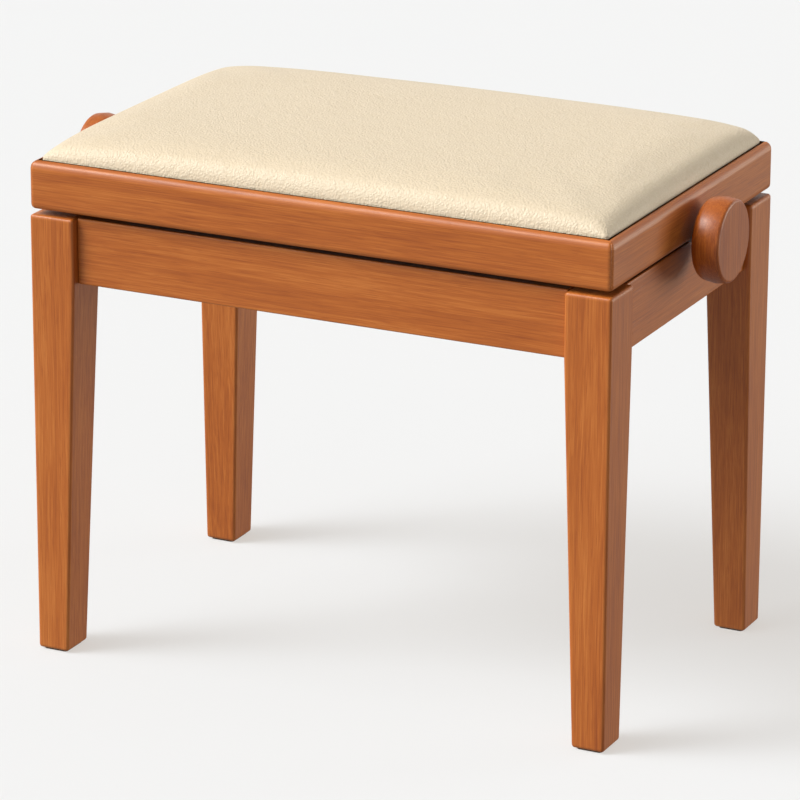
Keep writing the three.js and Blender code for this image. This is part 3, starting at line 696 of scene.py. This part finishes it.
PAD_ROWS = ((0.55, 0.2), (0.9, 0.2), (1.0, 1.0), (1.14, 0.1))  # shares of the skirt's height and waist
HELD_TOP = SEAT_TOP + 1.6 * MM  # the cover below it is held in the frame
OVERHANG_RISE = 3 * MM  # the bulge over the rim grows to its full size over this height
FILL_PRESSURE = 4.0
FILL_STIFFNESS = 18.0
FILL_BENDING = 2.0
FILL_QUALITY = 6
FILL_FRAMES = 20
FILL_BLEND = 0.6  # share of its neighbours' shift that a point takes in each smoothing


def edge_round(inwards, reach):
    """Quarter-round rise that ends `reach` inside the edge."""
    left = max(0.0, 1 - inwards / reach)
    return math.sqrt(1 - left * left)


def slope(inwards, reach):
    """Rise that starts steadily at the edge and ends level."""
    left = max(0.0, 1 - inwards / reach)
    return 1 - left * left


def pad_height(x, y):
    """Height of the pad's top above the rails' top."""
    inwards = (PAD_HALF_X - abs(x), PAD_HALF_Y - abs(y))
    steep = edge_round(inwards[0], EDGE_REACH[0]) * edge_round(inwards[1], EDGE_REACH[1])
    gentle = slope(inwards[0], SLOPE_REACH[0]) * slope(inwards[1], SLOPE_REACH[1])
    u, v = x / PAD_HALF_X, y / PAD_HALF_Y
    crown = (1 - abs(u) ** CROWN_POWER) * (1 - abs(v) ** CROWN_POWER)
    corner = (abs(u) * abs(v)) ** CORNER_POWER * steep
    lean = u * (1 + v) / 2 * steep
    return EDGE_RISE * steep + SLOPE_RISE * gentle + CROWN_RISE * crown - CORNER_DROP * corner + LEAN * lean


def pad_plan(u, v):
    """Place in plan of a grid point. Near a corner the points are drawn onto the corner's arc."""
    x, y = u * PAD_HALF_X, v * PAD_HALF_Y
    dx = abs(x) - (PAD_HALF_X - PAD_PLAN_ROUND)
    dy = abs(y) - (PAD_HALF_Y - PAD_PLAN_ROUND)
    if dx > 0 and dy > 0:
        reach = max(dx, dy) / math.hypot(dx, dy)
        x = math.copysign(PAD_HALF_X - PAD_PLAN_ROUND + dx * reach, x)
        y = math.copysign(PAD_HALF_Y - PAD_PLAN_ROUND + dy * reach, y)
    return x, y


def spread(count):
    """Numbers from -1 to 1 that lie closer together towards the ends."""
    line = np.linspace(-1, 1, count)
    return np.sign(line) * (1 - (1 - np.abs(line)) ** 1.6)


def grid_rim(grid):
    """The outer points of a grid of rows, in order round it."""
    right = [row[-1] for row in grid[:-1]]
    left = [row[0] for row in grid[:0:-1]]
    return grid[0][:-1] + right + grid[-1][:0:-1] + left


def pad_form():
    """Closed form of the pad: level underside, skirt in the frame with a waist at its top, domed top."""
    us, vs = (spread(count) for count in PAD_GRID)
    work = bmesh.new()
    full = EDGE_LINE + EDGE_RISE + SLOPE_RISE + CROWN_RISE
    scale = (pad_high.z - PAD_START - SEAT_TOP) / full

    def top_height(u, v):
        return SEAT_TOP + scale * (EDGE_LINE + pad_height(u * PAD_HALF_X, v * PAD_HALF_Y))

    top = [[work.verts.new((*pad_plan(u, v), top_height(u, v))) for u in us] for v in vs]
    bottom = [[work.verts.new((*pad_plan(u, v), PAD_BASE)) for u in us] for v in vs]
    for i in range(len(vs) - 1):
        for j in range(len(us) - 1):
            work.faces.new((top[i][j], top[i][j + 1], top[i + 1][j + 1], top[i + 1][j]))
            work.faces.new((bottom[i][j], bottom[i + 1][j], bottom[i + 1][j + 1], bottom[i][j + 1]))

    lines = [grid_rim(bottom)]
    for share, waist in PAD_ROWS:
        z = PAD_BASE + share * (SEAT_TOP - PAD_BASE)
        line = []
        for vertex in grid_rim(top):
            size = math.hypot(vertex.co.x, vertex.co.y)
            shrink = 1 - WAIST * waist / size
            line.append(work.verts.new((vertex.co.x * shrink, vertex.co.y * shrink, z)))
        lines.append(line)
    lines.append(grid_rim(top))
    for low, high in zip(lines, lines[1:]):
        for k in range(len(low)):
            m = (k + 1) % len(low)
            work.faces.new((low[k], low[m], high[m], high[k]))
    bmesh.ops.recalc_face_normals(work, faces=work.faces)
    mesh = bpy.data.meshes.new("cushion_cover")
    work.to_mesh(mesh)
    work.free()
    return mesh


def filled_places(pad):
    """Where the cover's points lie once pressure has filled it, with its skirt held in the frame."""
    held = pad.vertex_groups.new(name="held")
    for vertex in pad.data.vertices:
        if vertex.co.z < HELD_TOP:
            held.add([vertex.index], 1.0, "REPLACE")
    cloth = pad.modifiers.new("fill", "CLOTH")
    settings = cloth.settings
    settings.use_pressure = True
    settings.uniform_pressure_force = FILL_PRESSURE
    settings.effector_weights.gravity = 0.0
    settings.vertex_group_mass = "held"
    settings.tension_stiffness = FILL_STIFFNESS
    settings.compression_stiffness = FILL_STIFFNESS
    settings.bending_stiffness = FILL_BENDING
    settings.quality = FILL_QUALITY
    cloth.collision_settings.use_collision = False
    scene = bpy.context.scene
    for step in range(1, FILL_FRAMES + 1):
        scene.frame_set(step)
    graph = bpy.context.evaluated_depsgraph_get()
    filled = pad.evaluated_get(graph).to_mesh()
    places = np.array([v.co for v in filled.vertices])
    pad.evaluated_get(graph).to_mesh_clear()
    pad.modifiers.clear()
    scene.frame_set(1)
    return places


def smoothed(shift, mesh):
    """Evens out a shift of each vertex over the mesh."""
    ends = np.array([e.vertices[:] for e in mesh.edges])
    count = np.bincount(ends.ravel(), minlength=len(shift))[:, None]
    for _ in range(FILL_SMOOTHING):
        near = np.zeros_like(shift)
        np.add.at(near, ends[:, 0], shift[ends[:, 1]])
        np.add.at(near, ends[:, 1], shift[ends[:, 0]])
        shift = (1 - FILL_BLEND) * shift + FILL_BLEND * near / count
    return shift


def simulate_pad(pad):
    """Fills the pad, and keeps each point of its cover near its start."""
    start = np.array([v.co for v in pad.data.vertices])
    shift = filled_places(pad) - start
    length = np.linalg.norm(shift, axis=1)
    shift *= (np.minimum(length, FILL_CAP) / np.maximum(length, 1e-9))[:, None]
    place = start + smoothed(shift, pad.data)
    pad.data.vertices.foreach_set("co", place.astype(np.float32).ravel())


def settle_pad(pad):
    """Scales the crown back to the CAD height and limits how far the cover hangs over the wooden rim."""
    place = np.array([v.co for v in pad.data.vertices])
    above = place[:, 2] > HELD_TOP
    crown = pad_high.z - HELD_TOP
    place[above, 2] = HELD_TOP + (place[above, 2] - HELD_TOP) * crown / (place[:, 2].max() - HELD_TOP)
    overhang = BULGE * np.clip((place[:, 2] - HELD_TOP) / OVERHANG_RISE, 0, 1)
    for axis, limit in ((0, PAD_HALF_X), (1, PAD_HALF_Y)):
        reach = limit + overhang
        place[:, axis] = np.clip(place[:, axis], -reach, reach)
    pad.data.vertices.foreach_set("co", place.astype(np.float32).ravel())
    pad.data.update()


def build_cushion():
    pad = bpy.data.objects.new("cushion_cover", pad_form())
    bpy.context.scene.collection.objects.link(pad)
    simulate_pad(pad)
    settle_pad(pad)
    for polygon in pad.data.polygons:
        polygon.use_smooth = True
    subdivide = pad.modifiers.new("smooth", "SUBSURF")
    subdivide.levels = 1
    subdivide.render_levels = 1
    apply_modifiers(pad)
    pad.data.materials.append(LEATHER)
    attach(pad, "seat")
    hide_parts("cushion")


# ---- Knobs ----
KNOB_RADIUS = (knob_high.z - knob_low.z) / 2
KNOB_DEPTH = knob_high.x - knob_low.x
KNOB_ROUND_OUT = 3.0 * MM
KNOB_ROUND_IN = 9 * MM
KNOB_SWELL = 1.2 * MM  # the rim bulges a little between its roundings
KNOB_SEGMENTS = 96
SOCKET_RADIUS = 9.3 * MM
SOCKET_DEPTH = 17 * MM
SOCKET_EDGE = 1 * MM
KNOB_WEAR_RADIUS = KNOB_RADIUS - 5 * MM
KNOB_WEAR_BAND = 4 * MM
KNOB_WEAR = 0.6


def knob_profile():
    """Half section of a knob, as (radius, depth), from the socket's bottom to the outer face's middle."""
    shoulder = KNOB_RADIUS - KNOB_SWELL
    profile = [(0.0, SOCKET_DEPTH), (SOCKET_RADIUS, SOCKET_DEPTH)]
    profile += [(SOCKET_RADIUS, SOCKET_DEPTH - SOCKET_EDGE), (SOCKET_RADIUS, SOCKET_EDGE)]
    profile += [(SOCKET_RADIUS + SOCKET_EDGE, 0.0)]
    profile += [(KNOB_RADIUS * 0.5, 0.0), (KNOB_RADIUS - KNOB_ROUND_IN - 2 * MM, 0.0)]
    for angle in np.radians(np.linspace(-90, -6, 9)):
        out = shoulder - KNOB_ROUND_IN + KNOB_ROUND_IN * math.cos(angle)
        profile.append((out, KNOB_ROUND_IN + KNOB_ROUND_IN * math.sin(angle)))
    profile.append((KNOB_RADIUS, (KNOB_DEPTH + KNOB_ROUND_IN - KNOB_ROUND_OUT) / 2))
    for angle in np.radians(np.linspace(6, 90, 11)):
        out = shoulder - KNOB_ROUND_OUT + KNOB_ROUND_OUT * math.cos(angle)
        profile.append((out, KNOB_DEPTH - KNOB_ROUND_OUT + KNOB_ROUND_OUT * math.sin(angle)))
    face_radii = (KNOB_RADIUS - KNOB_ROUND_OUT - 3 * MM, KNOB_RADIUS * 0.5, KNOB_RADIUS * 0.2, 0.0)
    return profile + [(radius, KNOB_DEPTH) for radius in face_radii]


def turned_mesh(profile, sign):
    """Vertices, faces and edge mask of a knob's profile turned round the spindle's axis."""
    vertices, faces, edge, rows = [], [], [], []
    for r, d in profile:
        x = sign * (knob_low.x + d)
        if r < 1e-9:
            rows.append([len(vertices)])
            vertices.append((x, 0.0, SPINDLE_Z))
            edge.append(0.0)
            continue
        rows.append(list(range(len(vertices), len(vertices) + KNOB_SEGMENTS)))
        for k in range(KNOB_SEGMENTS):
            angle = 2 * math.pi * k / KNOB_SEGMENTS
            vertices.append((x, r * math.cos(angle), SPINDLE_Z + r * math.sin(angle)))
            edge.append(max(0.0, 1 - abs(r - KNOB_WEAR_RADIUS) / KNOB_WEAR_BAND) * KNOB_WEAR)
    for a, b in zip(rows, rows[1:]):
        for k in range(KNOB_SEGMENTS):
            m = (k + 1) % KNOB_SEGMENTS
            if len(a) == 1:
                faces.append((a[0], b[k], b[m]))
            elif len(b) == 1:
                faces.append((a[k], b[0], a[m]))
            else:
                faces.append((a[k], b[k], b[m], a[m]))
    return vertices, faces, edge


def build_knobs():
    """Turned knobs with a flat outer face and a full, rounded rim."""
    profile = knob_profile()
    for index, (name, sx) in enumerate(SIDES.items()):
        vertices, faces, edge = turned_mesh(profile, sx)
        attributes = {"grain": grain_vectors(vertices, 2, 61 + index), "edge": edge}
        node = f"knob_{name}"
        piece = make_piece(
            f"{node}_turned", vertices, faces, KNOB_WOOD, "spindle", [node], attributes
        )
        face_outwards(piece)
        even_shading(piece)


# ---- Spindle ----
spindle_low, spindle_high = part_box("spindle")
nut_low, nut_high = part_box("drive_nut")
SPINDLE_RADIUS = (spindle_high.z - spindle_low.z) / 2
SPINDLE_CHAMFER = 0.8 * MM
SPINDLE_SEGMENTS = 32
THREAD_PITCH = 2.0 * MM
THREAD_DEPTH = 0.9 * MM
THREAD_FLOOR = 2.6  # with the flank's steepness, it sets how wide the groove's floor and flanks are
THREAD_FLANK = 6
THREAD_STEP = 0.25 * MM  # length between two rows of the thread's mesh
THREAD_RUN_OUT = 2.0 * MM  # the groove fades out over this length
NUT_TRAVEL = 24.4 * MM
THREAD_MARGIN = 8 * MM
THREAD_START = nut_low.x - NUT_TRAVEL - THREAD_MARGIN
THREAD_END = nut_high.x + THREAD_MARGIN


def spindle_radius(x, angle):
    """Radius of the spindle at a place along it and an angle round it."""
    if x in (spindle_low.x, spindle_high.x):
        return SPINDLE_RADIUS - SPINDLE_CHAMFER
    phase = (x / THREAD_PITCH - angle / (2 * math.pi)) % 1.0
    groove = min(1.0, max(0.0, THREAD_FLOOR - THREAD_FLANK * abs(phase - 0.5)))
    fade = min(1.0, max(0.0, min(x - THREAD_START, THREAD_END - x) / THREAD_RUN_OUT))
    return SPINDLE_RADIUS - THREAD_DEPTH * groove * fade


def build_spindle():
    """The steel spindle, with its thread cut where the drive nut travels and chamfered ends."""
    rows = round((THREAD_END - THREAD_START) / THREAD_STEP) + 1
    threaded = np.linspace(THREAD_START, THREAD_END, rows)
    plain = np.linspace(spindle_low.x + SPINDLE_CHAMFER, THREAD_START - 1 * MM, 9)
    plain_end = np.linspace(THREAD_END + 1 * MM, spindle_high.x - SPINDLE_CHAMFER, 5)
    rings = []
    for x in (spindle_low.x, *plain, *threaded, *plain_end, spindle_high.x):
        ring = []
        for k in range(SPINDLE_SEGMENTS):
            angle = 2 * math.pi * k / SPINDLE_SEGMENTS
            r = spindle_radius(x, angle)
            ring.append((x, r * math.cos(angle), SPINDLE_Z + r * math.sin(angle)))
        rings.append(ring)
    vertices, faces = loft(rings)
    piece = make_piece("spindle_threaded", vertices, faces, STEEL, "spindle", ["spindle"])
    face_outwards(piece)
    even_shading(piece)


# ---- CAD pieces that keep their shape ----
FINISHES = {  # each slot's material, and how wide its arrises are softened
    "steel": (STEEL, 0.35 * MM),
    "brass": (BRASS, 0.35 * MM),
    "nylon": (NYLON, 0.4 * MM),
    "glide_felt": (GLIDE, 0.6 * MM),
    "plywood": (PLYWOOD, 0.6 * MM),
    "block_wood": (BLOCK_WOOD, 1.0 * MM),
    "bench_wood": (BENCH_WOOD, 1.0 * MM),
    "seat_cover": (LEATHER, 1.0 * MM),
}
WELD_DISTANCE = 0.02 * MM
ARRIS_SEGMENTS = 2
ARRIS_ANGLE = math.radians(35)  # edges sharper than this are softened


def dress_cad():
    """Softens the arrises of the CAD nodes and gives each its material."""
    slot_of = {s["node"]: s["material_slot"] for s in frame["record"]["subparts"]}
    for name, node in NODES.items():
        material, width = FINISHES[slot_of[name]]
        node.data.materials.clear()
        node.data.materials.append(material)
        weld = node.modifiers.new("weld", "WELD")
        weld.merge_threshold = WELD_DISTANCE
        bevel = node.modifiers.new("soft_arris", "BEVEL")
        bevel.width = width
        bevel.segments = ARRIS_SEGMENTS
        bevel.limit_method = "ANGLE"
        bevel.angle_limit = ARRIS_ANGLE
        for polygon in node.data.polygons:
            polygon.use_smooth = True
        even_shading(node)


# ---- Stage ----
CAMERA_PLACE = (1.7677, -3.6400, 1.5836)
CAMERA_YAW = math.radians(25.939)
CAMERA_DOWN = math.radians(18.537)
CAMERA_ROLL = math.radians(0.246)
CAMERA_FIELD = math.radians(9.664)

STAGE_SIDES = 64
FLOOR_FLAT = 10.0  # radius of the level part
COVE_RADIUS = 5.0
COVE_STEPS = 8
WALL_TOP = 9.0
FLOOR_GLOW = (0.580, 0.552, 0.518)  # the lit paper's own brightness, which keeps the shadows on it faint
FLOOR_ALBEDO = (0.26, 0.285, 0.315)
AIR = 0.35  # mean brightness of the light from all round
AIR_LEAN = (-0.12, -0.10, 0.08)  # how much brighter it is from the left, the front and above
WARM = (1.0, 0.985, 0.955)
LAMP = (1.0, 0.945, 0.82)
LAMP_DISTANCE = 3  # a sun lamp's direction matters, not its place
LIGHTS = {  # where each comes from, strength, spread in degrees and colour
    "broad": ((-0.68, -0.46, 0.57), 2.42, 52, WARM),
    "key": ((-0.60, -0.40, 0.69), 1.9, 22, WARM),
    "fill": ((0.69, 0.72, 0.03), 1.46, 32, LAMP),
}


def studio_paper():
    material = bpy.data.materials.new("studio_paper")
    Nodes(material).set(
        Base_Color=(*FLOOR_ALBEDO, 1.0),
        Roughness=1.0,
        Specular_IOR_Level=0.0,
        Emission_Color=(*FLOOR_GLOW, 1.0),
        Emission_Strength=1.0,
    )
    return material


def build_backdrop(name, profile, paper, centre=False):
    """A stage surface turned round the vertical axis. It throws neither diffuse light nor shadow."""
    turns = [2 * math.pi * k / STAGE_SIDES for k in range(STAGE_SIDES)]
    vertices = [(r * math.cos(t), r * math.sin(t), z) for r, z in profile for t in turns]
    faces = [tuple(range(STAGE_SIDES))] if centre else []
    for i in range(len(profile) - 1):
        low, high = i * STAGE_SIDES, (i + 1) * STAGE_SIDES
        for k in range(STAGE_SIDES):
            m = (k + 1) % STAGE_SIDES
            faces.append((low + k, low + m, high + m, high + k))
    mesh = bpy.data.meshes.new(name)
    mesh.from_pydata(vertices, [], faces)
    backdrop = bpy.data.objects.new(name, mesh)
    bpy.context.scene.collection.objects.link(backdrop)
    backdrop.data.materials.append(paper)
    backdrop.visible_diffuse = False
    backdrop.visible_shadow = False
    return backdrop


def build_stage():
    """A pale floor that sweeps up into a wall, far off on every side."""
    paper = studio_paper()
    floor = build_backdrop("studio_floor", [(FLOOR_FLAT, 0.0)], paper, centre=True)
    floor.visible_glossy = False
    sweep = [(FLOOR_FLAT, 0.0)]
    for a in np.linspace(0, math.pi / 2, COVE_STEPS + 1)[1:]:
        sweep.append((FLOOR_FLAT + COVE_RADIUS * math.sin(a), COVE_RADIUS * (1 - math.cos(a))))
    sweep.append((FLOOR_FLAT + COVE_RADIUS, WALL_TOP))
    build_backdrop("studio_wall", sweep, paper)


def build_air():
    """Even light from all round, a little brighter from the front left and above."""
    world = bpy.data.worlds.new("studio_air")
    bpy.context.scene.world = world
    world.use_nodes = True
    tree = world.node_tree
    place = tree.nodes.new("ShaderNodeTexCoord")
    lean = tree.nodes.new("ShaderNodeVectorMath")
    lean.operation = "DOT_PRODUCT"
    lean.inputs[1].default_value = AIR_LEAN
    total = tree.nodes.new("ShaderNodeMath")
    total.operation = "ADD"
    total.inputs[1].default_value = AIR
    tree.links.new(place.outputs["Generated"], lean.inputs[0])
    tree.links.new(lean.outputs["Value"], total.inputs[0])
    tree.links.new(total.outputs[0], tree.nodes["Background"].inputs["Strength"])
    tree.nodes["Background"].inputs["Color"].default_value = (1.0, 1.0, 1.0, 1.0)


def build_lights():
    """Soft light from the front left and above, and a low fill from the rear right."""
    for name, (place, strength, spread_angle, colour) in LIGHTS.items():
        light = bpy.data.lights.new(name, "SUN")
        light.energy = strength
        light.angle = math.radians(spread_angle)
        light.color = colour
        lamp = bpy.data.objects.new(name, light)
        bpy.context.scene.collection.objects.link(lamp)
        lamp.location = [LAMP_DISTANCE * c for c in place]
        lamp.rotation_euler = (-Vector(place)).to_track_quat("-Z", "Y").to_euler()


def build_camera():
    data = bpy.data.cameras.new("camera")
    camera = bpy.data.objects.new("camera", data)
    bpy.context.scene.collection.objects.link(camera)
    data.sensor_width = 36.0
    data.lens = data.sensor_width / 2 / math.tan(CAMERA_FIELD / 2)
    data.clip_end = 100.0
    turn = Matrix.Rotation(CAMERA_YAW, 3, "Z") @ Matrix.Rotation(math.pi / 2 - CAMERA_DOWN, 3, "X")
    camera.location = CAMERA_PLACE
    camera.rotation_euler = (turn @ Matrix.Rotation(CAMERA_ROLL, 3, "Z")).to_euler()
    bpy.context.scene.camera = camera


build_camera()
build_legs()
build_aprons()
build_seat_frame()
build_cushion()
build_knobs()
build_spindle()
dress_cad()
build_stage()
build_air()
build_lights()
bpy.context.scene.view_settings.view_transform = "Standard"
